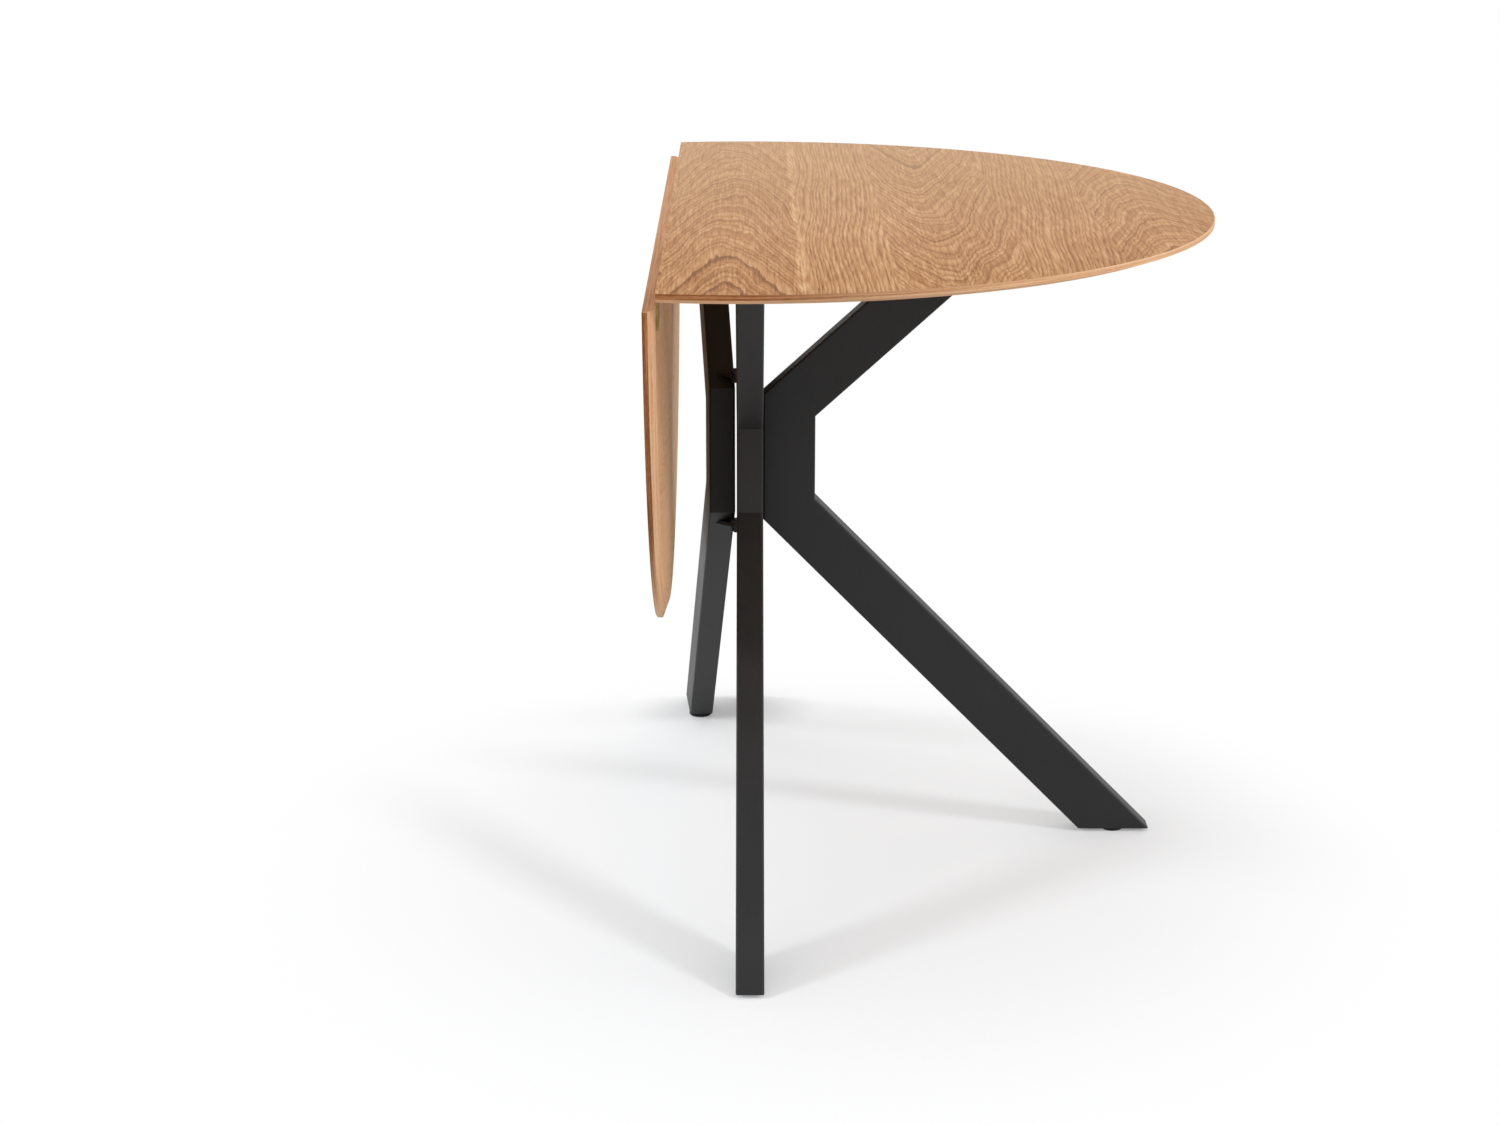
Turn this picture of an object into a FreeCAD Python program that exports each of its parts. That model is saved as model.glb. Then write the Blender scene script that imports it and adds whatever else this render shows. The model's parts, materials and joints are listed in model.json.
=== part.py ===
import FreeCAD, Part
import math
import os

os.makedirs("parts", exist_ok=True)
V = FreeCAD.Vector
UP = V(0, 0, 1)
ALONG_EDGE = V(0, 1, 0)

# Folding dining table: a round top on four K-shaped legs, one side of the top hinged down.
# Millimetres and degrees. The working frame stands on the floor under the middle of the legs,
# with the fold line along Y, the leaf at -X and +Z up.

# The round top
table_height = 750.0
top_diameter = 1050.0
top_shift = 8.0         # middle of the round top, from the middle of the legs towards the leaf
board_thickness = 12.0
rim_band = 5.5          # upright part of the rim, above the bevel
bevel_reach = 18.0      # how far the bevel under the rim runs inward
rim_arris = 0.8
fold_offset = 90.0      # straight edge of the fixed top, from the middle of the legs
fold_gap = 1.0          # between the two boards when the leaf is up

# Leaf hinges, on the undersides of both boards
hinge_names = ["near", "middle", "far"]
hinge_spread_share = 0.85   # outer hinges, as a share of half the straight edge
hinge_width = 60.0      # along the fold line
hinge_depth = 31.0      # from the pin to the far edge of a plate
hinge_gauge = 2.0
hinge_corner = 4.0
hinge_setback = 2.0     # pin to the straight edge of the fixed top
knuckle_radius = 3.0
knuckle_count = 5
knuckle_gap = 0.3
knuckle_headroom = 0.1  # between the knuckles and the boards
hinge_pin_radius = 1.5
hinge_screw_shares = [(-0.36, 0.52), (0.0, 0.78), (0.36, 0.52)]  # of the width, of the depth

# Steel tube of the legs
tube_depth = 60.0
tube_width = 30.0
tube_wall = 2.0
tube_corner = 2.5
upper_bend_share = 0.68  # outer corner of column and upper arm, as a share of the table height
lower_bend_share = 0.55  # outer corner of column and lower leg, as a share of the table height
arm_slope = 42.3
leg_slope = 45.5
foot_gap = 4.0          # from the floor to the steel of a fixed leg
gate_foot_gap = 6.0     # the gate leg is cut shorter, so that it swings clear
fixed_leg_angles = {"front": -90.0, "right": 0.0, "back": 90.0}

# Post in the middle, which the three fixed columns are welded to
post_width = 30.0

# Plates that screw the fixed legs to the top
plate_gauge = 4.0
plate_length = 130.0
plate_corner = 8.0
plate_hole_inset = 10.0
stop_gap = 1.0          # from the folded gate leg's pad to the back leg's plate, which stops it

# Gate leg: swings about an upright line just outside the corner of the post
gate_open_angle = 180.0
gate_swing = 85.0       # from open to folded beside the back leg
pivot_clearance = 1.0   # from the post to the pivot line, and to the open gate leg
ear_gauge = 4.0
ear_radius = 6.5
ear_room = 0.5          # from the eye of a fixed ear to the sloping tubes
ear_root = 24.0         # width of a gate ear where it meets the tube
stud_radius = 3.0
washer_radius = 6.0
washer_gauge = 1.0
lock_nut_flats = 10.0
lock_nut_height = 5.0
nut_play = 0.2
stud_end = 1.5          # stud beyond the nut
slide_pad_gauge = 4.0
slide_pad_gap = 1.0     # under the raised leaf
slide_pad_peg_radius = 4.0

# Levelling glides and the plates that close the feet
foot_plate_gauge = 3.0
glide_radius = 14.0
gate_glide_radius = 15.0
glide_edge = 1.5
glide_play = 0.2        # between a glide and the steel above it
glide_stem_radius = 4.0
glide_stem_length = 26.0
foot_nut_flats = 13.0
foot_nut_height = 6.5
gate_glide_inset = 17.0  # centre of the gate glide, from the inner edge of its foot

# Countersunk screws
plate_screw_radius = 2.5
plate_screw_head = 4.75
plate_screw_length = 13.0
hinge_screw_radius = 1.6
hinge_screw_head = 3.1
hinge_screw_length = 11.0
screw_tip = 2.0
recess_share = 0.55     # cross recess, as a share of the head

running_clearance = 0.05
overrun = 5.0           # how far a cutting solid passes the face it cuts

# Sizes that follow from the ones above
top_radius = top_diameter / 2
top_middle = V(-top_shift, 0, 0)
half_edge = math.sqrt(top_radius ** 2 - (fold_offset - top_shift) ** 2)
hinge_reach = half_edge * hinge_spread_share   # middle hinge to an outer one
cut_reach = table_height + top_diameter
underside = table_height - board_thickness
upper_bend = table_height * upper_bend_share
lower_bend = table_height * lower_bend_share
column_inner = post_width / 2
column_outer = column_inner + tube_depth
column_middle = column_inner + tube_depth / 2
upper_mitre = (90.0 - arm_slope) / 2
lower_mitre = (90.0 - leg_slope) / 2
arm_rise = math.tan(math.radians(arm_slope))
leg_drop = math.tan(math.radians(leg_slope))
upper_mitre_rise = tube_depth * math.tan(math.radians(upper_mitre))
lower_mitre_drop = tube_depth * math.tan(math.radians(lower_mitre))
inner_upper_bend = upper_bend + upper_mitre_rise
inner_lower_bend = lower_bend - lower_mitre_drop
fixed_arm_top = underside - plate_gauge
gate_arm_top = underside - slide_pad_gap - slide_pad_gauge
foot_length = tube_depth / math.sin(math.radians(leg_slope))
arm_cut_length = tube_depth / math.sin(math.radians(arm_slope))
hinge_pin_x = hinge_setback - fold_offset
hinge_pin_z = underside - knuckle_headroom - knuckle_radius
leaf_face_x = hinge_pin_x - (table_height - hinge_pin_z)
origin_x = (top_radius - top_shift + leaf_face_x) / 2   # middle of the folded table, left to right
pivot_reach = post_width / 2 + pivot_clearance
pivot = V(-pivot_reach, pivot_reach, 0)
ear_reach = pivot_reach + ear_radius - column_inner + ear_room
upper_seat = inner_upper_bend + ear_reach * arm_rise
lower_seat = inner_lower_bend - ear_reach * leg_drop


def polygon_face(points):
    """A flat face from corner points."""
    return Part.Face(Part.makePolygon(points + points[:1]))


def rounded_rectangle(length, width, radius):
    """A flat face in XY, centred, with round corners."""
    x = length / 2
    y = width / 2
    edges = []
    for turn, reach, side in [(0, x, y), (1, y, x), (2, x, y), (3, y, x)]:
        spin = FreeCAD.Rotation(UP, 90.0 * turn)
        start = V(reach, radius - side, 0)
        end = V(reach, side - radius, 0)
        corner = V(reach - radius, side - radius, 0)
        bulge = corner + V(radius, radius, 0) * math.sqrt(0.5)
        after = V(reach - radius, side, 0)
        edges.append(Part.makeLine(spin * start, spin * end))
        edges.append(Part.Arc(spin * end, spin * bulge, spin * after).toShape())
    return Part.Face(Part.Wire(edges))


def slab(face, z_from, z_to):
    """A face in XY as a plate between two heights, given in either order."""
    plate = face.extrude(UP * abs(z_to - z_from))
    plate.translate(UP * min(z_from, z_to))
    return plate


def disc(radius, centre, z_from, z_to):
    """An upright cylinder between two heights, given in either order."""
    base = V(centre.x, centre.y, min(z_from, z_to))
    return Part.makeCylinder(radius, abs(z_to - z_from), base)


def hexagon(flats, centre, z_from, z_to):
    """An upright hexagonal prism of the given width across flats."""
    corner = flats / math.sqrt(3)
    points = []
    for step in range(6):
        angle = math.radians(60.0 * step)
        points.append(centre + V(math.cos(angle), math.sin(angle), 0) * corner)
    return slab(polygon_face(points), z_from, z_to)


def trim(shape, point, direction):
    """What is left of a shape once everything beyond a plane is cut off."""
    return shape.cut(Part.makeCylinder(cut_reach, cut_reach, point, direction))


def swung(shape):
    """A shape of the open gate leg, turned to where it folds beside the back leg."""
    turned = shape.copy()
    turned.rotate(pivot, UP, -gate_swing)
    return turned


def folded(shape):
    """A shape of the raised leaf, turned down about the hinge pins."""
    turned = shape.copy()
    turned.rotate(V(hinge_pin_x, 0, hinge_pin_z), ALONG_EDGE, -90.0)
    return turned


# Countersunk screws

def screw_seat(head, radius, length):
    """A countersunk screw without its recess, with its head face at the origin, pointing up."""
    outline = [V(0, 0, 0), V(head, 0, 0), V(radius, 0, head - radius),
               V(radius, 0, length - screw_tip), V(0, 0, length)]
    return polygon_face(outline).revolve(V(0, 0, 0), UP, 360)


def screw(head, radius, length):
    """The screw itself, with a cross recess in its head."""
    arm = head * recess_share
    slot = radius * recess_share
    body = screw_seat(head, radius, length)
    for side_x, side_y in [(2 * arm, slot), (slot, 2 * arm)]:
        corner = V(-side_x / 2, -side_y / 2, -slot)
        body = body.cut(Part.makeBox(side_x, side_y, 2 * slot, corner))
    return body


def placed(shape, point):
    """A copy of a shape moved to a point."""
    moved = shape.copy()
    moved.translate(point)
    return moved


# The boards

def round_board():
    """The whole round top: an upright rim band with a bevel under it."""
    rim_under = table_height - rim_band
    outline = [V(0, 0, underside),
               V(top_radius - bevel_reach, 0, underside),
               V(top_radius, 0, rim_under),
               V(top_radius, 0, table_height - rim_arris),
               V(top_radius - rim_arris, 0, table_height),
               V(0, 0, table_height)]
    return placed(polygon_face(outline).revolve(V(0, 0, 0), UP, 360), top_middle)


def split_boards():
    """The fixed top and the raised leaf, either side of the fold line."""
    whole = round_board()
    fixed = trim(whole, V(-fold_offset, 0, table_height), V(-1, 0, 0))
    leaf = trim(whole, V(-fold_offset - fold_gap, 0, table_height), V(1, 0, 0))
    return fixed, leaf


# Leaf hinges, modelled with the leaf up

def knuckle_spans(parity, middle):
    """Where one plate's knuckles start and end along the fold line."""
    pitch = hinge_width / knuckle_count
    first = middle - hinge_width / 2
    spans = []
    for index in range(parity, knuckle_count, 2):
        spans.append((first + index * pitch, first + (index + 1) * pitch))
    return spans


def along_pin(radius, start, end):
    """A cylinder on the pin line between two places along the fold line."""
    return Part.makeCylinder(radius, end - start, V(hinge_pin_x, start, hinge_pin_z), ALONG_EDGE)


def hinge_plate(side, parity, middle):
    """One hinge plate with its rolled knuckles: side is 1 under the fixed top, -1 under the leaf."""
    outline = rounded_rectangle(2 * hinge_depth, hinge_width, hinge_corner)
    outline.translate(V(hinge_pin_x, middle, 0))
    plate = slab(outline, underside - hinge_gauge, underside)
    plate = trim(plate, V(hinge_pin_x, middle, underside), V(-side, 0, 0))
    reach = knuckle_radius + knuckle_gap
    for start, end in knuckle_spans(1 - parity, middle):
        room = along_pin(reach, start - knuckle_gap / 2, end + knuckle_gap / 2)
        plate = plate.cut(room)
        slot = Part.makeBox(reach, end - start + knuckle_gap, hinge_gauge + overrun,
                            V(min(0, side * reach) + hinge_pin_x, start - knuckle_gap / 2,
                              underside - hinge_gauge))
        plate = plate.cut(slot)
    for start, end in knuckle_spans(parity, middle):
        inset = knuckle_gap / 2
        plate = plate.fuse(along_pin(knuckle_radius, start + inset, end - inset))
    bore = along_pin(hinge_pin_radius + running_clearance, middle - hinge_width, middle + hinge_width)
    return plate.cut(bore).removeSplitter()


def hinge_pin(middle):
    """The pin, as long as the hinge is wide."""
    return along_pin(hinge_pin_radius, middle - hinge_width / 2, middle + hinge_width / 2)


def hinge_screw_places(side, middle):
    """Where the screws of one hinge plate start, at the plate's lower face."""
    places = []
    for width_share, depth_share in hinge_screw_shares:
        x = hinge_pin_x + side * hinge_depth * depth_share
        places.append(V(x, middle + hinge_width * width_share, underside - hinge_gauge))
    return places


# Leg tubes, modelled in a leg's own frame: X outward, Y across, Z up

def tube_section():
    """The hollow section across a leg tube."""
    outer = rounded_rectangle(tube_depth, tube_width, tube_corner)
    return outer.cut(core_section())


def core_section():
    """The open inside of a leg tube."""
    return rounded_rectangle(tube_depth - 2 * tube_wall, tube_width - 2 * tube_wall,
                             tube_corner - tube_wall)


def run_tube(section, middle, slope):
    """A section run both ways through a point, rising outward at a slope."""
    tube = section.extrude(UP * (2 * cut_reach))
    tube.translate(UP * -cut_reach)
    tube.rotate(V(0, 0, 0), V(0, 1, 0), 90.0 - slope)
    tube.translate(middle)
    return tube


def bend_points():
    """The middles of the upper and lower mitres, and the directions square to them."""
    upper = V(column_middle, 0, (upper_bend + inner_upper_bend) / 2)
    lower = V(column_middle, 0, (lower_bend + inner_lower_bend) / 2)
    upper_angle = math.radians(upper_mitre)
    lower_angle = math.radians(lower_mitre)
    rising = V(math.sin(upper_angle), 0, math.cos(upper_angle))
    falling = V(math.sin(lower_angle), 0, -math.cos(lower_angle))
    return upper, lower, rising, falling


def upper_arm(section, top):
    """The arm from the column up to the top, cut level."""
    upper, lower, rising, falling = bend_points()
    arm = trim(run_tube(section, upper, arm_slope), upper, rising * -1)
    return trim(arm, V(column_outer, 0, top), UP)


def column(section):
    """The upright middle of the K, mitred at both ends."""
    upper, lower, rising, falling = bend_points()
    upright = trim(run_tube(section, upper, 90.0), upper, rising)
    return trim(upright, lower, falling)


def lower_leg(section, bottom):
    """The leg from the column down to the floor, cut level."""
    upper, lower, rising, falling = bend_points()
    leg = trim(run_tube(section, lower, -leg_slope), lower, falling * -1)
    return trim(leg, V(column_outer, 0, bottom), UP * -1)


def foot_outer(bottom):
    """Distance from the middle of the table to the tip of a foot."""
    return column_outer + (lower_bend - bottom) / leg_drop


def folded_pad_side():
    """Distance from the middle of the back leg to the nearest corner of the folded gate's pad."""
    inner_end = arm_middle(gate_arm_top) - arm_cut_length / 2
    corner = V(-inner_end - pivot_clearance, tube_width / 2, 0)
    return -(pivot + FreeCAD.Rotation(UP, -gate_swing) * (corner - pivot)).x


def plate_width():
    """Width of a top plate: the back leg's reaches the folded gate leg's pad."""
    return 2 * (folded_pad_side() - stop_gap)


def arm_middle(top):
    """Distance from the middle of the table to the middle of an arm's cut end."""
    return column_outer + (top - upper_bend) / arm_rise - arm_cut_length / 2


def end_plate(core, z_from, z_to):
    """The plate that closes a tube from inside between two heights."""
    low = trim(core, V(0, 0, min(z_from, z_to)), UP * -1)
    return trim(low, V(0, 0, max(z_from, z_to)), UP)


# Feet

def foot_plate(bottom, centre):
    """The plate inside the cut end of a lower leg, drilled for the glide's stem."""
    plate = end_plate(lower_leg(core_section(), bottom - overrun), bottom, bottom + foot_plate_gauge)
    hole = disc(glide_stem_radius + running_clearance, centre, bottom - overrun,
                bottom + foot_plate_gauge + overrun)
    return plate.cut(hole)


def foot_nut(bottom, centre):
    """The nut welded on the foot plate, inside the tube."""
    seat = bottom + foot_plate_gauge
    nut = hexagon(foot_nut_flats, centre, seat, seat + foot_nut_height)
    bore = disc(glide_stem_radius + running_clearance, centre, seat - overrun,
                seat + foot_nut_height + overrun)
    return nut.cut(bore)


def glide_stem(bottom, centre):
    """The threaded stem, from inside the pad up through the nut."""
    return disc(glide_stem_radius, centre, glide_edge, bottom + glide_stem_length)


def glide_pad(radius, bottom, centre):
    """The round pad on the floor, chamfered below, moulded on its stem."""
    top = bottom - glide_play
    outline = [V(0, 0, 0), V(radius - glide_edge, 0, 0), V(radius, 0, glide_edge),
               V(radius, 0, top), V(0, 0, top)]
    pad = polygon_face(outline).revolve(V(0, 0, 0), UP, 360)
    return placed(pad, centre).cut(disc(glide_stem_radius, centre, glide_edge, top + overrun))


# Fixed legs

def top_plate(middle):
    """The plate under the top that a fixed arm is welded to."""
    outline = rounded_rectangle(plate_length, plate_width(), plate_corner)
    outline.translate(V(middle, 0, 0))
    return slab(outline, fixed_arm_top, underside)


def plate_screw_places(middle):
    """The four screw places of a top plate, at its lower face."""
    x = plate_length / 2 - plate_hole_inset
    y = plate_width() / 2 - plate_hole_inset
    return [V(middle + sx * x, sy * y, fixed_arm_top) for sx in (-1, 1) for sy in (-1, 1)]


def turned(shape, angle):
    """A shape of a leg's own frame, turned to the side of the table it stands on."""
    copy = shape.copy()
    copy.rotate(V(0, 0, 0), UP, angle)
    return copy


# Post and gate pivots

def centre_post():
    """The square tube that the columns stand round."""
    outer = rounded_rectangle(post_width, post_width, tube_corner)
    bore = post_width - 2 * tube_wall
    inner = rounded_rectangle(bore, bore, tube_corner - tube_wall)
    return slab(outer.cut(inner), lower_seat, upper_seat)


def stack(seat, way):
    """Heights of the parts of one pivot, outward from the end of the post."""
    heights = [seat]
    for gauge in [ear_gauge, washer_gauge, ear_gauge, nut_play, lock_nut_height, stud_end]:
        heights.append(heights[-1] + way * gauge)
    return heights


def fixed_ear(heights):
    """The plate that closes the post and holds the stud beside its corner."""
    cap = rounded_rectangle(post_width, post_width, tube_corner)
    ear = slab(cap, heights[0], heights[1]).fuse(disc(ear_radius, pivot, heights[0], heights[1]))
    return ear.cut(disc(stud_radius, pivot, heights[0], heights[1])).removeSplitter()


def gate_ear(heights, tube):
    """The ear on the gate leg, from the sloping inner face of a tube to the pivot, leg open."""
    low = min(heights[2], heights[3])
    high = max(heights[2], heights[3])
    climb = max((high - inner_upper_bend) / arm_rise, (inner_lower_bend - low) / leg_drop)
    root_x = -pivot_reach - climb - tube_wall
    outline = [V(pivot.x, pivot.y + ear_radius, 0), V(root_x, tube_width / 2, 0),
               V(root_x, tube_width / 2 - ear_root, 0), V(pivot.x, pivot.y - ear_radius, 0)]
    ear = slab(polygon_face(outline), low, high).fuse(disc(ear_radius, pivot, low, high))
    bore = disc(stud_radius + running_clearance, pivot, low - overrun, high + overrun)
    return ear.cut(tube).cut(bore).removeSplitter()


def pivot_washer(heights):
    """The washer between the two ears."""
    ring = disc(washer_radius, pivot, heights[1], heights[2])
    return ring.cut(disc(stud_radius, pivot, heights[1], heights[2]))


def lock_nut(heights):
    """The nut that keeps the gate ear on its stud."""
    nut = hexagon(lock_nut_flats, pivot, heights[4], heights[5])
    return nut.cut(disc(stud_radius, pivot, heights[4], heights[5]))


def pivot_stud(heights):
    """The stud that the gate ear turns on."""
    return disc(stud_radius, pivot, heights[0], heights[6])


# Gate leg, modelled open

def opened(shape):
    """A shape of a leg's own frame, turned to the open place of the gate leg."""
    copy = turned(shape, gate_open_angle)
    copy.translate(V(-pivot_clearance, 0, 0))
    return copy


def slide_pad():
    """The pad on the gate arm that slides under the leaf, held by a peg in the end plate."""
    middle = V(arm_middle(gate_arm_top), 0, 0)
    outline = rounded_rectangle(arm_cut_length, tube_width, tube_corner)
    outline.translate(middle)
    pad = slab(outline, gate_arm_top, gate_arm_top + slide_pad_gauge)
    return pad.fuse(disc(slide_pad_peg_radius, middle, gate_arm_top - foot_plate_gauge, gate_arm_top))


def arm_end_plate():
    """The plate inside the top of the gate arm, with the hole for the pad's peg."""
    core = upper_arm(core_section(), gate_arm_top + overrun)
    plate = end_plate(core, gate_arm_top - foot_plate_gauge, gate_arm_top)
    middle = V(arm_middle(gate_arm_top), 0, 0)
    return plate.cut(disc(slide_pad_peg_radius, middle, gate_arm_top - foot_plate_gauge, gate_arm_top))


# Groups of nodes

def fixed_leg_nodes(name, angle, nodes):
    """The tubes, top plate, foot plate and glide of one fixed leg."""
    section = tube_section()
    centre = V(foot_outer(foot_gap) - foot_length / 2, 0, 0)
    own = {
        "upper_arm": upper_arm(section, fixed_arm_top),
        "column": column(section),
        "lower_leg": lower_leg(section, foot_gap),
        "foot_plate": foot_plate(foot_gap, centre),
        "glide_stem": glide_stem(foot_gap, centre),
        "glide_pad": glide_pad(glide_radius, foot_gap, centre),
    }
    for part_name, shape in own.items():
        nodes[name + "_" + part_name] = turned(shape, angle)
    return turned(foot_nut(foot_gap, centre), angle)


def gate_leg_nodes(nodes):
    """The gate leg in its folded place."""
    section = tube_section()
    inner_edge = foot_outer(gate_foot_gap) - foot_length
    centre = V(inner_edge + gate_glide_inset, 0, 0)
    own = {
        "gate_upper_arm": upper_arm(section, gate_arm_top),
        "gate_column": column(section),
        "gate_lower_leg": lower_leg(section, gate_foot_gap),
        "gate_arm_end_plate": arm_end_plate(),
        "gate_slide_pad": slide_pad(),
        "gate_foot_plate": foot_plate(gate_foot_gap, centre),
        "gate_foot_nut": foot_nut(gate_foot_gap, centre),
        "gate_glide_stem": glide_stem(gate_foot_gap, centre),
        "gate_glide_pad": glide_pad(gate_glide_radius, gate_foot_gap, centre),
    }
    for name, shape in own.items():
        nodes[name] = swung(opened(shape))
    whole = rounded_rectangle(tube_depth, tube_width, tube_corner)
    arm = opened(upper_arm(whole, gate_arm_top))
    leg = opened(lower_leg(whole, gate_foot_gap))
    nodes["gate_upper_ear"] = swung(gate_ear(stack(upper_seat, 1), arm))
    nodes["gate_lower_ear"] = swung(gate_ear(stack(lower_seat, -1), leg))


def pivot_nodes(nodes):
    """The post and the fixed parts of both gate pivots."""
    upper = stack(upper_seat, 1)
    lower = stack(lower_seat, -1)
    nodes["centre_post"] = centre_post()
    nodes["upper_pivot_ear"] = fixed_ear(upper)
    nodes["lower_pivot_ear"] = fixed_ear(lower)
    nodes["upper_pivot_stud"] = pivot_stud(upper)
    nodes["lower_pivot_stud"] = pivot_stud(lower)
    nodes["pivot_washers"] = Part.makeCompound([pivot_washer(upper), pivot_washer(lower)])
    nodes["pivot_lock_nuts"] = Part.makeCompound([lock_nut(upper), lock_nut(lower)])


def hinge_nodes(nodes, fixed, leaf):
    """The leaf hinges and their screws; returns both boards with the screw seats cut."""
    shape = screw(hinge_screw_head, hinge_screw_radius, hinge_screw_length)
    seat = screw_seat(hinge_screw_head, hinge_screw_radius, hinge_screw_length)
    fixed_screws = []
    leaf_screws = []
    for index, label in enumerate(hinge_names):
        middle = (index - 1) * hinge_reach
        fixed_plate = hinge_plate(1, 0, middle)
        leaf_plate = hinge_plate(-1, 1, middle)
        for place in hinge_screw_places(1, middle):
            fixed_screws.append(placed(shape, place))
            fixed_plate = fixed_plate.cut(placed(seat, place))
            fixed = fixed.cut(placed(seat, place))
        for place in hinge_screw_places(-1, middle):
            leaf_screws.append(placed(shape, place))
            leaf_plate = leaf_plate.cut(placed(seat, place))
            leaf = leaf.cut(placed(seat, place))
        nodes[label + "_hinge_top_plate"] = fixed_plate
        nodes[label + "_hinge_leaf_plate"] = folded(leaf_plate)
        nodes[label + "_hinge_pin"] = hinge_pin(middle)
    nodes["hinge_top_screws"] = Part.makeCompound(fixed_screws)
    nodes["hinge_leaf_screws"] = folded(Part.makeCompound(leaf_screws))
    return fixed, leaf


def top_plate_nodes(nodes, fixed):
    """The plates under the fixed top and their screws; returns the top with the seats cut."""
    shape = screw(plate_screw_head, plate_screw_radius, plate_screw_length)
    seat = screw_seat(plate_screw_head, plate_screw_radius, plate_screw_length)
    middle = arm_middle(fixed_arm_top)
    screws = []
    for name, angle in fixed_leg_angles.items():
        plate = top_plate(middle)
        for place in plate_screw_places(middle):
            plate = plate.cut(placed(seat, place))
            screws.append(turned(placed(shape, place), angle))
            fixed = fixed.cut(turned(placed(seat, place), angle))
        nodes[name + "_top_plate"] = turned(plate, angle)
    nodes["top_plate_screws"] = Part.makeCompound(screws)
    return fixed


def build():
    """Every node of the folded table by name."""
    nodes = {}
    fixed, leaf = split_boards()
    fixed, leaf = hinge_nodes(nodes, fixed, leaf)
    nodes["fixed_top"] = top_plate_nodes(nodes, fixed)
    nodes["drop_leaf"] = folded(leaf)
    nuts = []
    for name, angle in fixed_leg_angles.items():
        nuts.append(fixed_leg_nodes(name, angle, nodes))
    nodes["foot_nuts"] = Part.makeCompound(nuts)
    pivot_nodes(nodes)
    gate_leg_nodes(nodes)
    return nodes


for node_name, node_shape in build().items():
    node_shape.translate(V(-origin_x, 0, 0))
    node_shape.exportStep("parts/" + node_name + ".step")
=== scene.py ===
import json
import math

import bpy
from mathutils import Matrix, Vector


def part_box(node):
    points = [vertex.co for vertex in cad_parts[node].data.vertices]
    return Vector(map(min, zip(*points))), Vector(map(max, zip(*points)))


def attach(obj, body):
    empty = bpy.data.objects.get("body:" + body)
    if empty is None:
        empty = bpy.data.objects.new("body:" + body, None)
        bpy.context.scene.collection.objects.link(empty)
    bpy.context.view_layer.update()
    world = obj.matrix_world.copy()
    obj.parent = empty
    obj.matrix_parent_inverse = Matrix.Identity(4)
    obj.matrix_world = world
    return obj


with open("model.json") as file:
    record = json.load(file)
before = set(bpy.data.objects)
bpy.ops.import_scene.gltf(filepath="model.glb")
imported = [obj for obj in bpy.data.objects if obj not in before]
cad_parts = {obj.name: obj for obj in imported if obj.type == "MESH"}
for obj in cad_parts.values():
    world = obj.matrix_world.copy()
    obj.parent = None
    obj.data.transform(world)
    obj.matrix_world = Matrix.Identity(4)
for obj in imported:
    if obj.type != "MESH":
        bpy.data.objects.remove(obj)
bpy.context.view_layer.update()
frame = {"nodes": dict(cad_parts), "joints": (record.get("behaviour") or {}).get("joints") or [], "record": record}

# Places on the table, read from its own parts
leaf_pin = next(j for j in frame["joints"] if j["name"] == "leaf_fold")["pos_m"]
fold_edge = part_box("fixed_top")[0].x
top_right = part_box("fixed_top")[1].x
legs_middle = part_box("centre_post")[0].lerp(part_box("centre_post")[1], 0.5).x
arris_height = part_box("fixed_top")[1].z


def linear(red, green, blue):
    """A screen colour of 0 to 255 as the linear colour that a shader takes."""
    parts = [level / 255 for level in (red, green, blue)]
    parts = [p / 12.92 if p <= 0.04045 else ((p + 0.055) / 1.055) ** 2.4 for p in parts]
    return (*parts, 1.0)


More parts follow.
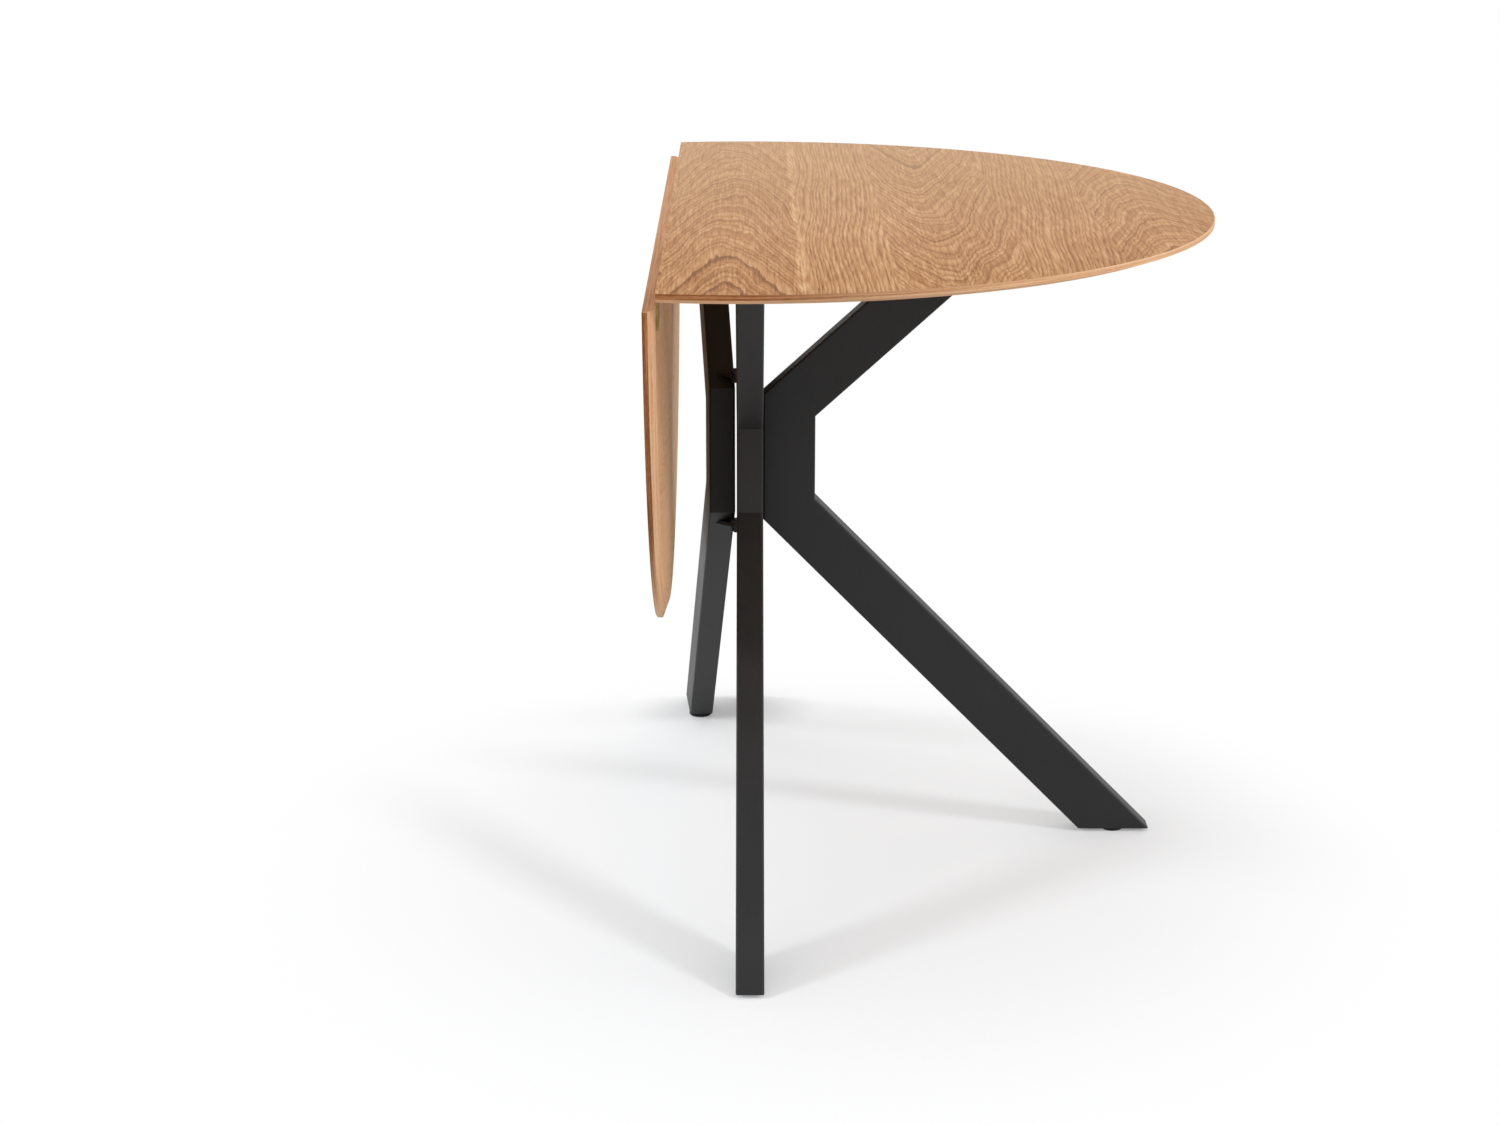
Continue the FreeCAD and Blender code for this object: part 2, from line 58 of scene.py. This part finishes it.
class Tree:
    """The nodes of one material or of the world."""

    def __init__(self, owner):
        owner.use_nodes = True
        self.nodes = owner.node_tree.nodes
        self.links = owner.node_tree.links
        self.nodes.clear()

    def feed(self, socket, value):
        """Links an input to another node's output, or sets it to a plain value."""
        if isinstance(value, bpy.types.NodeSocket):
            self.links.new(value, socket)
        else:
            socket.default_value = value

    def add(self, kind, inputs=None, **settings):
        node = self.nodes.new("ShaderNode" + kind)
        for name, value in settings.items():
            setattr(node, name, value)
        for name, value in (inputs or {}).items():
            self.feed(node.inputs[name], value)
        return node

    def calc(self, operation, *values):
        node = self.add("Math", operation=operation)
        for socket, value in zip(node.inputs, values):
            self.feed(socket, value)
        return node.outputs[0]

    def span(self, value, start, end, low=0.0, high=1.0, smooth=False):
        """Low up to the start, high from the end on, and evenly or smoothly between."""
        kind = "SMOOTHSTEP" if smooth else "LINEAR"
        node = self.add("MapRange", {0: value, 1: start, 2: end, 3: low, 4: high})
        node.interpolation_type = kind
        return node.outputs[0]

    def vary(self, base, noise, weight):
        """The base, raised or lowered by a noise that runs round one half."""
        return self.calc("MULTIPLY_ADD", self.calc("SUBTRACT", noise, 0.5), weight, base)

    def mean(self, first, second):
        return self.calc("MULTIPLY_ADD", first, 0.5, self.calc("MULTIPLY", second, 0.5))

    def hypotenuse(self, first, second):
        """The long side over two sides at a right angle."""
        square = self.calc("MULTIPLY_ADD", first, first, self.calc("MULTIPLY", second, second))
        return self.calc("SQRT", square)

    def split(self, vector):
        return tuple(self.add("SeparateXYZ", {0: vector}).outputs)

    def join(self, x, y, z):
        return self.add("CombineXYZ", {0: x, 1: y, 2: z}).outputs[0]

    def noise(self, vector, scale=1.0, detail=2.0, roughness=0.5):
        node = self.add(
            "TexNoise",
            {"Vector": vector, "Scale": scale, "Detail": detail, "Roughness": roughness},
        )
        return node.outputs[0]

    def grain(self, place, waves, shift=0.0, **settings):
        """Noise with its own number of waves a metre in each of the three directions."""
        x, y, z = place
        across, along, up = waves
        stretched = self.join(
            self.calc("MULTIPLY_ADD", x, across, shift),
            self.calc("MULTIPLY", y, along),
            self.calc("MULTIPLY", z, up),
        )
        return self.noise(stretched, **settings)

    def blend(self, factor, first, second):
        """Two colours mixed, on the colour sockets 6 and 7 of the node."""
        node = self.add("Mix", data_type="RGBA")
        for place, value in ((0, factor), (6, first), (7, second)):
            self.feed(node.inputs[place], value)
        return node.outputs[2]

    def fill_ramp(self, node, stops, kind="LINEAR"):
        node.color_ramp.interpolation = kind
        elements = node.color_ramp.elements
        while len(elements) < len(stops):
            elements.new(1.0)
        for element, (position, colour) in zip(elements, stops):
            element.position = position
            element.color = colour

    def ramp(self, factor, stops):
        node = self.add("ValToRGB", {0: factor})
        self.fill_ramp(node, stops)
        return node.outputs[0]

    def bump(self, height, strength, distance):
        node = self.add("Bump", {"Strength": strength, "Distance": distance, "Height": height})
        return node.outputs[0]

    def surface(self, inputs):
        shader = self.add("BsdfPrincipled", inputs)
        self.add("OutputMaterial", {"Surface": shader.outputs[0]})


def new_material(name):
    material = bpy.data.materials.new(name)
    return material, Tree(material)


def new_object(name, data):
    added = bpy.data.objects.new(name, data)
    bpy.context.scene.collection.objects.link(added)
    return added


# Veneer strips of the whole round top, from the leaf's side to the right: first edge from the
# fold, middle of the arches, how fast the rings shift along the board, roundness of the arches
# and tone
veneer_strips = (
    (-0.460, -0.410, 0.16, 0.026, 0.40),
    (-0.355, -0.900, 0.02, 0.000, 0.62),
    (-0.250, -0.170, -0.16, 0.026, 0.50),
    (-0.105, -0.040, 0.17, 0.026, 0.46),
    (0.000, 0.068, 0.16, 0.028, 0.44),
    (0.140, 0.950, 0.01, 0.000, 0.56),
    (0.231, 0.292, -0.16, 0.026, 0.50),
    (0.365, 0.950, 0.06, 0.000, 0.42),
    (0.467, 0.540, 0.20, 0.030, 0.47),
)
last_strip_overhang = 0.01
strip_seed_step = 37.0

# Patterns in the wood: waves a metre across the grain, along it and up, and a shift that keeps
# two patterns apart
wander_pattern = {"waves": (5.0, 1.8, 0.0), "detail": 1.0}
ripple_pattern = {"waves": (34.0, 6.0, 0.0)}
rag_pattern = {"waves": (430.0, 20.0, 0.0), "detail": 1.0}
fibre_pattern = {"waves": (430.0, 15.0, 0.0), "detail": 3.0, "roughness": 0.65}
fleck_pattern = {"waves": (160.0, 14.0, 0.0), "shift": 5.0}
cloud_pattern = {"waves": (9.0, 2.5, 0.0), "shift": 2.0}
layer_pattern = {"waves": (7.0, 7.0, 620.0), "detail": 3.0, "roughness": 0.55}
edge_speck_pattern = {"waves": (160.0, 160.0, 900.0)}
backing_speck_pattern = {
    "waves": (520.0, 110.0, 0.0),
    "shift": 9.0,
    "detail": 3.0,
    "roughness": 0.6,
}

# Growth rings: how far they stray from even arches, in metres, and how the years differ
wander_reach = 0.045
ripple_reach = 0.002
ripple_reach_per_roundness = 0.56
rag_reach = 0.0040
year_waves = 45.0
year_reach = 0.020
ring_width = 0.0122
ring_softness = 0.55
fine_ring_width = 0.0050
fine_ring_softness = 0.60
ring_crest = 0.93

# Spans, here and below: start, end, and what they give there, or else 0 and 1
broad_rings_by_year = (0.35, 0.65, 0.25, 1.0)
broad_rings_by_roundness = (0.0, 0.03, -0.08, -0.28)
fine_rings_by_roundness = (0.0, 0.03, -0.32, -0.27)

# Lightness of the veneer, and what each pattern adds to it
veneer_lightness = 0.652
fibre_weight = 1.00
fleck_weight = 0.42
cloud_weight = 0.30
tone_weight = 0.30

# Pale joints: place from the fold, width and strength
pale_joints = (
    (0.141, 0.0060, 0.20),
    (0.231, 0.0014, 0.12),
)
joint_by_flecks = (0.4, 0.6, 0.3, 1.5)

# Veneer on the flat faces, with painted sheen: a fade along the fold makes it paler from the front to the back
veneer_colours = (
    (0.12, linear(126, 78, 42)),
    (0.38, linear(167, 113, 69)),
    (0.58, linear(189, 136, 90)),
    (0.90, linear(224, 180, 134)),
)
far_veneer_painted_sheen = linear(222, 192, 160)
painted_sheen_fade = (-0.45, 0.60, 0.0, 0.42)
flat_face = (0.965, 0.99)
lower_face = (-0.99, -0.965, 1.0, 0.0)
fibre_relief = 0.5
oak_roughness_by_fibres = (0.3, 0.7, 0.68, 0.56)
oak_bump = {"strength": 0.25, "distance": 0.0003}
oak_lacquer = {
    "Specular IOR Level": 0.06,
    "Sheen Weight": 0.65,
    "Sheen Roughness": 0.20,
    "Sheen Tint": linear(255, 214, 172),
}

# Backing veneer on the underside, with painted light that makes it paler towards the back
backing_colours = (
    (0.10, linear(178, 126, 86)),
    (0.55, linear(224, 174, 128)),
    (0.95, linear(246, 210, 170)),
)
far_backing_painted_light = linear(255, 226, 190)
painted_light_backing_fade = (-0.20, 0.35, 0.0, 0.60)
backing_speck_weight = 0.9

# Rim band and bevel: side grain, and darker end grain that also carries painted shade and reaches further round on
# the leaf's side, both following the way that they face; and the arris, the thin line along the top of the rim,
# painted as a highlight on side grain and as shade on end grain
side_grain_colours = (
    (0.30, linear(208, 156, 113)),
    (0.48, linear(229, 180, 138)),
    (0.70, linear(242, 200, 160)),
)
end_grain_and_shade_colours = (
    (0.30, linear(118, 68, 35)),
    (0.48, linear(154, 99, 60)),
    (0.70, linear(190, 134, 93)),
)
edge_speck_weight = 0.35
end_grain_and_shade_begins = (-0.90, -0.60)
end_grain_and_shade_stops = (0.02, 0.50, 1.0, 0.0)
end_grain_and_shade_off_bevel = (-0.6, -0.2, 0.12, 1.0)
fold_cut_facing = (0.5, 0.9)
fold_cut_fade = (-0.45, 0.05, 0.72, 0.18)
arris_below_top = (0.0014, 0.0006)
arris_highlight_on_side_grain = linear(246, 204, 164)
arris_shade_on_end_grain = linear(132, 82, 46)
arris_strength = 0.6


def raised_place(tree, place, facing):
    """The hanging leaf's place and facing, turned up about the hinge pins."""
    x, y, z = place
    face_x, face_y, face_z = facing
    up_x = tree.calc("ADD", z, leaf_pin[0] - leaf_pin[2])
    up_z = tree.calc("SUBTRACT", leaf_pin[2] + leaf_pin[0], x)
    return (up_x, y, up_z), (face_z, face_y, tree.calc("MULTIPLY", face_x, -1.0))


def strip_data(tree, across):
    """Axis, shift, roundness and tone of the strip at a place, from steps of a colour ramp.

    A ramp holds 0 to 1, so the axis and the shift, which run from -1 to 1, are moved and halved
    on the way in and put back on the way out. The tone is the ramp's alpha.
    """
    first = veneer_strips[0][0]
    last = top_right - fold_edge + last_strip_overhang
    share = tree.span(across, first, last)
    stops = []
    for edge, axis, shift, roundness, tone in veneer_strips:
        position = (edge - first) / (last - first)
        stops.append((position, ((axis + 1) / 2, (shift + 1) / 2, roundness, tone)))
    steps = tree.add("ValToRGB", {0: share})
    tree.fill_ramp(steps, stops, "CONSTANT")
    axis, shift, roundness = tree.split(steps.outputs[0])
    axis = tree.calc("MULTIPLY_ADD", axis, 2.0, -1.0)
    shift = tree.calc("MULTIPLY_ADD", shift, 2.0, -1.0)
    return axis, shift, roundness, steps.outputs[1]


def ring_distance(tree, across, place, strip):
    """How far a place lies through the growth rings, with their wander and ragged pores."""
    axis, shift, roundness, tone = strip
    seed = tree.calc("MULTIPLY", tone, strip_seed_step)
    wander = tree.grain(place, shift=seed, **wander_pattern)
    ripple = tree.grain(place, shift=seed, **ripple_pattern)
    rags = tree.grain(place, shift=seed, **rag_pattern)
    aside = tree.vary(tree.calc("SUBTRACT", across, axis), wander, wander_reach)
    distance = tree.hypotenuse(roundness, aside)
    distance = tree.calc("MULTIPLY_ADD", place[1], shift, distance)
    reach = tree.calc("MULTIPLY_ADD", roundness, ripple_reach_per_roundness, ripple_reach)
    distance = tree.calc("MULTIPLY_ADD", ripple, reach, distance)
    distance = tree.calc("MULTIPLY_ADD", rags, rag_reach, distance)
    years = tree.noise(tree.join(tree.calc("MULTIPLY", distance, year_waves), tone, 0.0))
    return tree.calc("MULTIPLY_ADD", years, year_reach, distance), years


def ring_lines(tree, distance, width, softness):
    """Rings of one width: 0 between them, rising to 1 on their dark porous side."""
    count = tree.calc("FRACT", tree.calc("DIVIDE", distance, width))
    rise = tree.span(count, 1.0 - softness, ring_crest, smooth=True)
    fall = tree.span(count, ring_crest, 1.0, 1.0, 0.0, smooth=True)
    return tree.calc("MULTIPLY", rise, fall)


def joint_light(tree, across):
    """The pale lines where two strips meet."""
    light = 0.0
    for edge, width, strength in pale_joints:
        away = tree.calc("ABSOLUTE", tree.calc("SUBTRACT", across, edge))
        line = tree.span(away, width / 2, width, strength, 0.0)
        light = tree.calc("ADD", line, light)
    return light


def veneer_shade(tree, across, place):
    """How light the veneer is: growth rings, fibres, pores and the tone of each strip."""
    strip = strip_data(tree, across)
    roundness, tone = strip[2:]
    distance, years = ring_distance(tree, across, place, strip)
    broad = ring_lines(tree, distance, ring_width, ring_softness)
    fine = ring_lines(tree, distance, fine_ring_width, fine_ring_softness)
    fibres = tree.grain(place, **fibre_pattern)
    flecks = tree.grain(place, **fleck_pattern)
    clouds = tree.grain(place, **cloud_pattern)
    broad_weight = tree.calc(
        "MULTIPLY",
        tree.span(years, *broad_rings_by_year),
        tree.span(roundness, *broad_rings_by_roundness),
    )
    fine_weight = tree.span(roundness, *fine_rings_by_roundness)
    shade = tree.calc("MULTIPLY_ADD", broad, broad_weight, veneer_lightness)
    shade = tree.calc("MULTIPLY_ADD", fine, fine_weight, shade)
    shade = tree.vary(shade, fibres, fibre_weight)
    shade = tree.vary(shade, flecks, fleck_weight)
    shade = tree.vary(shade, clouds, cloud_weight)
    shade = tree.vary(shade, tone, tone_weight)
    light = tree.calc("MULTIPLY", joint_light(tree, across), tree.span(flecks, *joint_by_flecks))
    return tree.calc("ADD", shade, light), fibres


def end_grain_and_shade_share(tree, place, facing):
    """How much the rim, the bevel and the leaf's cut edge at the fold take the dark colours: end grain with
    painted shade, reaching further round on the leaf's side, and on the cut edge more towards the front.
    """
    rim = tree.calc(
        "MULTIPLY",
        tree.span(facing[0], *end_grain_and_shade_begins, smooth=True),
        tree.span(facing[0], *end_grain_and_shade_stops),
    )
    rim = tree.calc("MULTIPLY", rim, tree.span(facing[2], *end_grain_and_shade_off_bevel))
    on_leaf = tree.calc("LESS_THAN", place[0], fold_edge)
    cut = tree.calc("MULTIPLY", tree.span(facing[0], *fold_cut_facing), on_leaf)
    cut = tree.calc("MULTIPLY", cut, tree.span(place[1], *fold_cut_fade))
    return tree.calc("MAXIMUM", rim, cut)


def edge_wood(tree, place, facing):
    """The rim band and the bevel: thin layers along the edge, darker on end grain and with painted shade, and an
    arris line of painted highlight and painted shade.
    """
    layers = tree.grain(place, **layer_pattern)
    specks = tree.grain(place, **edge_speck_pattern)
    shade = tree.vary(layers, specks, edge_speck_weight)
    share = end_grain_and_shade_share(tree, place, facing)
    side = tree.ramp(shade, side_grain_colours)
    end = tree.ramp(shade, end_grain_and_shade_colours)
    # Painted shade as well as end grain: the dark colours reach further round on the leaf's side
    colour = tree.blend(share, side, end)
    lowest, highest = (arris_height - below for below in arris_below_top)
    arris = tree.calc("MULTIPLY", tree.span(place[2], lowest, highest), arris_strength)
    # Painted highlight along the arris on side grain, painted shade along it on end grain
    line = tree.blend(share, arris_highlight_on_side_grain, arris_shade_on_end_grain)
    return tree.blend(arris, colour, line)


def backing_wood(tree, place, shade):
    """The underside: the same veneer, plainer and paler, with fine specks and painted light that grows paler
    towards the back.
    """
    specks = tree.grain(place, **backing_speck_pattern)
    near = tree.ramp(tree.vary(shade, specks, backing_speck_weight), backing_colours)
    return tree.blend(tree.span(place[1], *painted_light_backing_fade), near, far_backing_painted_light)


def oak(name, hanging):
    """Lacquered oak veneer whose grain runs along the fold, and solid wood at the edges."""
    material, tree = new_material(name)
    coordinates = tree.add("TexCoord").outputs
    place = tree.split(coordinates["Object"])
    facing = tree.split(coordinates["Normal"])
    if hanging:
        place, facing = raised_place(tree, place, facing)
    across = tree.calc("SUBTRACT", place[0], fold_edge)
    shade, fibres = veneer_shade(tree, across, place)
    veneer = tree.ramp(shade, veneer_colours)
    # Painted sheen: the veneer grows paler towards the back
    veneer = tree.blend(tree.span(place[1], *painted_sheen_fade), veneer, far_veneer_painted_sheen)
    backing = backing_wood(tree, place, shade)
    veneer = tree.blend(tree.span(facing[2], *lower_face), veneer, backing)
    flat = tree.span(tree.calc("ABSOLUTE", facing[2]), *flat_face, smooth=True)
    relief = tree.calc("MULTIPLY_ADD", fibres, fibre_relief, shade)
    tree.surface({
        "Base Color": tree.blend(flat, edge_wood(tree, place, facing), veneer),
        "Roughness": tree.span(fibres, *oak_roughness_by_fibres),
        "Normal": tree.bump(relief, **oak_bump),
        **oak_lacquer,
    })
    return material


# Black powder coat
coat_grain = {"scale": 1500.0, "roughness": 0.6}
coat_peel = {"scale": 260.0}
coat_clouds = {"scale": 14.0, "detail": 3.0}
coat_colours = (
    (0.3, linear(31, 31, 32)),
    (0.7, linear(41, 41, 42)),
)
coat_peel_relief = 0.8
coat_roughness = (0.3, 0.7, 0.44, 0.54)
coat_specular = 0.30
coat_bump = {"strength": 0.22, "distance": 0.0002}

# Plated metals: their shared pattern, and a dark and a light colour and the roughness of each
rolling_lines = {"waves": (260.0, 1400.0, 1400.0), "detail": 3.0}
plating_clouds = {"waves": (90.0, 90.0, 90.0)}
plating_levels = (0.32, 0.68)
plating_roughness_levels = (0.3, 0.7)
plating_roughness_steps = (0.08, -0.05)
plating_bump = {"strength": 0.15, "distance": 0.0001}
brass_colours = (linear(119, 102, 47), linear(190, 167, 98))
brass_roughness = 0.42
zinc_colours = (linear(168, 169, 172), linear(206, 207, 210))
zinc_roughness = 0.34

# Black nylon
nylon_sparks = {"scale": 2200.0, "roughness": 0.6}
nylon_scuffs = {"scale": 120.0, "detail": 3.0, "roughness": 0.6}
nylon_colours = (
    (0.35, linear(16, 16, 17)),
    (0.72, linear(28, 28, 29)),
)
nylon_roughness = (0.3, 0.7, 0.52, 0.66)
nylon_specular = 0.25
nylon_bump = {"strength": 0.3, "distance": 0.0001}


def powder_coat():
    """Fine-textured matt black on the tubes and plates."""
    material, tree = new_material("black_powder_coat")
    place = tree.add("TexCoord").outputs["Object"]
    grain = tree.noise(place, **coat_grain)
    peel = tree.noise(place, **coat_peel)
    mixed = tree.mean(grain, tree.noise(place, **coat_clouds))
    relief = tree.calc("MULTIPLY_ADD", peel, coat_peel_relief, grain)
    tree.surface({
        "Base Color": tree.ramp(mixed, coat_colours),
        "Roughness": tree.span(mixed, *coat_roughness),
        "Specular IOR Level": coat_specular,
        "Normal": tree.bump(relief, **coat_bump),
    })
    return material


def brushed_metal(name, colours, roughness):
    """Plated metal with rolling lines along one way and faint clouds."""
    material, tree = new_material(name)
    place = tree.split(tree.add("TexCoord").outputs["Object"])
    lines = tree.grain(place, **rolling_lines)
    mixed = tree.mean(lines, tree.grain(place, **plating_clouds))
    most, least = (roughness + step for step in plating_roughness_steps)
    tree.surface({
        "Base Color": tree.ramp(mixed, tuple(zip(plating_levels, colours))),
        "Metallic": 1.0,
        "Roughness": tree.span(mixed, *plating_roughness_levels, most, least),
        "Normal": tree.bump(lines, **plating_bump),
    })
    return material


def moulded_nylon():
    """Dark matt plastic of the glides and the slide pad."""
    material, tree = new_material("moulded_black_nylon")
    place = tree.add("TexCoord").outputs["Object"]
    sparks = tree.noise(place, **nylon_sparks)
    scuffs = tree.noise(place, **nylon_scuffs)
    tree.surface({
        "Base Color": tree.ramp(scuffs, nylon_colours),
        "Roughness": tree.span(scuffs, *nylon_roughness),
        "Specular IOR Level": nylon_specular,
        "Normal": tree.bump(sparks, **nylon_bump),
    })
    return material


def dress(node, material):
    """Gives a part its material and keeps its shape as it is."""
    slots = frame["nodes"][node].material_slots
    if not slots:
        frame["nodes"][node].data.materials.append(material)
    for slot in slots:
        slot.material = material


materials = {
    "black_steel": powder_coat(),
    "brass": brushed_metal("dull_brass", brass_colours, brass_roughness),
    "zinc_steel": brushed_metal("zinc_plate", zinc_colours, zinc_roughness),
    "black_nylon": moulded_nylon(),
}
for subpart in frame["record"]["subparts"]:
    if subpart["material_slot"] in materials:
        dress(subpart["node"], materials[subpart["material_slot"]])
dress("fixed_top", oak("oak_fixed_top", False))
dress("drop_leaf", oak("oak_drop_leaf", True))

# Weld beads where the fixed arms meet their top plates: rows of drops, in metres
bead_size = 0.0042
bead_step = 0.0032
bead_ripple = 0.16
bead_facets = 5
bead_inset = 0.004
bead_end_size = 0.35
bead_taper_share = 0.25
rings_per_drop = 4
fewest_drops = 2

# Share of the plate's length, back from its middle, where a bead starts
bead_start_share = 1 / 3


def bead_mesh(name, start, end, wall, ceiling):
    """One fillet bead in the corner of two faces, as a row of overlapping drops."""
    run = end - start
    steps = max(fewest_drops, round(run.length / bead_step)) * rings_per_drop
    points = []
    for step in range(steps + 1):
        middle = start + run * (step / steps)
        swell = abs(math.sin(math.pi * step / rings_per_drop))
        from_end = min(step, steps - step) / steps
        taper = min(1.0, from_end / bead_taper_share + bead_end_size)
        size = bead_size * (1 - bead_ripple + bead_ripple * swell) * taper
        points.append(middle)
        for facet in range(bead_facets + 1):
            angle = math.pi / 2 * facet / bead_facets
            points.append(middle + size * (wall * math.cos(angle) + ceiling * math.sin(angle)))
    ring = bead_facets + 2
    faces = []
    for step in range(steps):
        for corner in range(ring):
            following = (corner + 1) % ring
            low = step * ring
            high = low + ring
            faces.append((low + corner, low + following, high + following, high + corner))
    faces.append(tuple(reversed(range(ring))))
    faces.append(tuple(steps * ring + corner for corner in range(ring)))
    mesh = bpy.data.meshes.new(name)
    mesh.from_pydata(points, [], faces)
    mesh.update()
    for polygon in mesh.polygons:
        polygon.use_smooth = True
    return mesh


def weld(leg, along, aside):
    """Beads on both sides of a fixed leg's arm, under its top plate."""
    arm_low, arm_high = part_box(leg + "_upper_arm")
    plate_low, plate_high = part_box(leg + "_top_plate")
    middle = Vector((legs_middle, 0.0, plate_low.z))
    outer = abs((arm_high if sum(along) > 0 else arm_low).dot(along) - middle.dot(along))
    half = abs((arm_high - arm_low).dot(aside)) / 2
    plate_length = abs((plate_high - plate_low).dot(along))
    plate_middle = abs((plate_high + plate_low).dot(along) / 2 - middle.dot(along))
    inner = plate_middle - plate_length * bead_start_share
    for side, sign in (("a", 1), ("b", -1)):
        base = middle + aside * (sign * half)
        start = base + along * (inner + bead_inset)
        end = base + along * (outer - bead_inset)
        mesh = bead_mesh(leg + "_weld_" + side, start, end, aside * sign, Vector((0, 0, -1)))
        mesh.materials.append(materials["black_steel"])
        bead = new_object(mesh.name, mesh)
        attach(bead, "table")


weld("front", Vector((0, -1, 0)), Vector((1, 0, 0)))
weld("right", Vector((1, 0, 0)), Vector((0, 1, 0)))
weld("back", Vector((0, 1, 0)), Vector((1, 0, 0)))

# Floor: white where the camera sees it, and clear from below. It keeps a share of the table's
# real shadow, in an oval under the table and close to each glide, without the wood's warm tint
floor_half = 9.0
floor_bounce = 0.70
shadow_depth = 0.70
shadow_middle = (0.08, -0.12)
shadow_reach = (0.72, 0.75)
shadow_solid_share = 0.48
foot_shadow_depth = 0.72
foot_shadow_reach = (0.03, 0.11)
wood_tint_undone = (0.980, 1.005, 1.032)


def shown_directly(tree):
    """1 for what the camera, a reflection or glass sees, and 0 for light that scatters."""
    rays = tree.add("LightPath").outputs
    seen = tree.calc("MAXIMUM", rays["Is Camera Ray"], rays["Is Glossy Ray"])
    return tree.calc("MAXIMUM", seen, rays["Is Transmission Ray"])


def near_a_foot(tree, x, y):
    """1 round each glide, falling to 0 away from it."""
    near = 0.0
    for leg in ("front", "right", "back", "gate"):
        low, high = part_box(leg + "_glide_pad")
        middle = low.lerp(high, 0.5)
        aside = tree.calc("SUBTRACT", x, middle.x)
        away = tree.calc("SUBTRACT", y, middle.y)
        reach = tree.hypotenuse(aside, away)
        here = tree.span(reach, *foot_shadow_reach, 1.0, 0.0, smooth=True)
        near = tree.calc("MAXIMUM", near, here)
    return near


def shadow_share(tree):
    """How much of the real shadow the floor keeps: most under the table and by the feet."""
    x, y = tree.split(tree.add("TexCoord").outputs["Object"])[:2]
    aside = tree.calc("SUBTRACT", x, legs_middle + shadow_middle[0])
    away = tree.calc("SUBTRACT", y, shadow_middle[1])
    reach = tree.hypotenuse(
        tree.calc("DIVIDE", aside, shadow_reach[0]),
        tree.calc("DIVIDE", away, shadow_reach[1]),
    )
    depth = tree.span(reach, shadow_solid_share, 1.0, shadow_depth, 0.0, smooth=True)
    deeper = tree.calc("SUBTRACT", foot_shadow_depth, depth)
    return tree.calc("MULTIPLY_ADD", near_a_foot(tree, x, y), deeper, depth)


def floor_material():
    """A glow with its share of the real shadow where it is seen, and grey for other light."""
    material, tree = new_material("white_floor")
    depth = shadow_share(tree)
    tint = tree.join(*(tree.calc("MULTIPLY", depth, share) for share in wood_tint_undone))
    catcher = tree.add("BsdfDiffuse", {"Color": tint}).outputs[0]
    glow = tree.add("Emission", {"Strength": tree.calc("SUBTRACT", 1.0, depth)}).outputs[0]
    picture = tree.add("AddShader", {0: catcher, 1: glow}).outputs[0]
    grey = (floor_bounce, floor_bounce, floor_bounce, 1)
    plain = tree.add("BsdfDiffuse", {"Color": grey}).outputs[0]
    level = shown_directly(tree)
    both = tree.add("MixShader", {0: level, 1: plain, 2: picture}).outputs[0]
    from_below = tree.add("NewGeometry").outputs["Backfacing"]
    clear = tree.add("BsdfTransparent").outputs[0]
    one_sided = tree.add("MixShader", {0: from_below, 1: both, 2: clear}).outputs[0]
    tree.add("OutputMaterial", {"Surface": one_sided})
    return material


floor_signs = ((-1, -1), (1, -1), (1, 1), (-1, 1))
floor_corners = [(x * floor_half, y * floor_half, 0.0) for x, y in floor_signs]
floor_mesh = bpy.data.meshes.new("floor")
floor_mesh.from_pydata(floor_corners, [], [(0, 1, 2, 3)])
floor_mesh.materials.append(floor_material())
floor = new_object("floor", floor_mesh)

# Light: an even world that is white where it is seen, and two soft lamps
ambient = 0.70
lamp_size_degrees = 11
right_lamp = {"share": 0.16, "offset": (1.45, -0.82, 1.0)}
left_lamp = {"share": 0.14, "offset": (-1.73, -0.49, 1.0)}


def make_world():
    world = bpy.data.worlds.new("studio")
    tree = Tree(world)
    level = tree.span(shown_directly(tree), 0.0, 1.0, ambient, 1.0)
    background = tree.add("Background", {"Color": (1, 1, 1, 1), "Strength": level})
    tree.add("OutputWorld", {"Surface": background.outputs[0]})
    bpy.context.scene.world = world


def add_sun(name, share, offset):
    """A soft lamp that gives its share of a level surface's light."""
    towards = Vector(offset).normalized()
    lamp = bpy.data.lights.new(name, "SUN")
    lamp.energy = share * math.pi / towards.z
    lamp.angle = math.radians(lamp_size_degrees)
    new_object(name, lamp).rotation_euler = towards.to_track_quat("Z", "Y").to_euler()


make_world()
add_sun("right_lamp", **right_lamp)
add_sun("left_lamp", **left_lamp)

# Camera, as solved from the photograph's edges
photo_width_px = 1500
focal_length_px = 2787.1
camera_place = (-0.20695, -3.12231, 1.25456)
camera_pitch_degrees = 16.47
farthest_seen = 60

camera = bpy.data.cameras.new("camera")
camera.sensor_fit = "HORIZONTAL"
camera.lens = focal_length_px / photo_width_px * camera.sensor_width
camera.clip_end = farthest_seen
camera_object = new_object("camera", camera)
camera_object.location = camera_place
camera_object.rotation_euler = (math.radians(90 - camera_pitch_degrees), 0, 0)
bpy.context.scene.camera = camera_object
bpy.context.scene.view_settings.view_transform = "Standard"
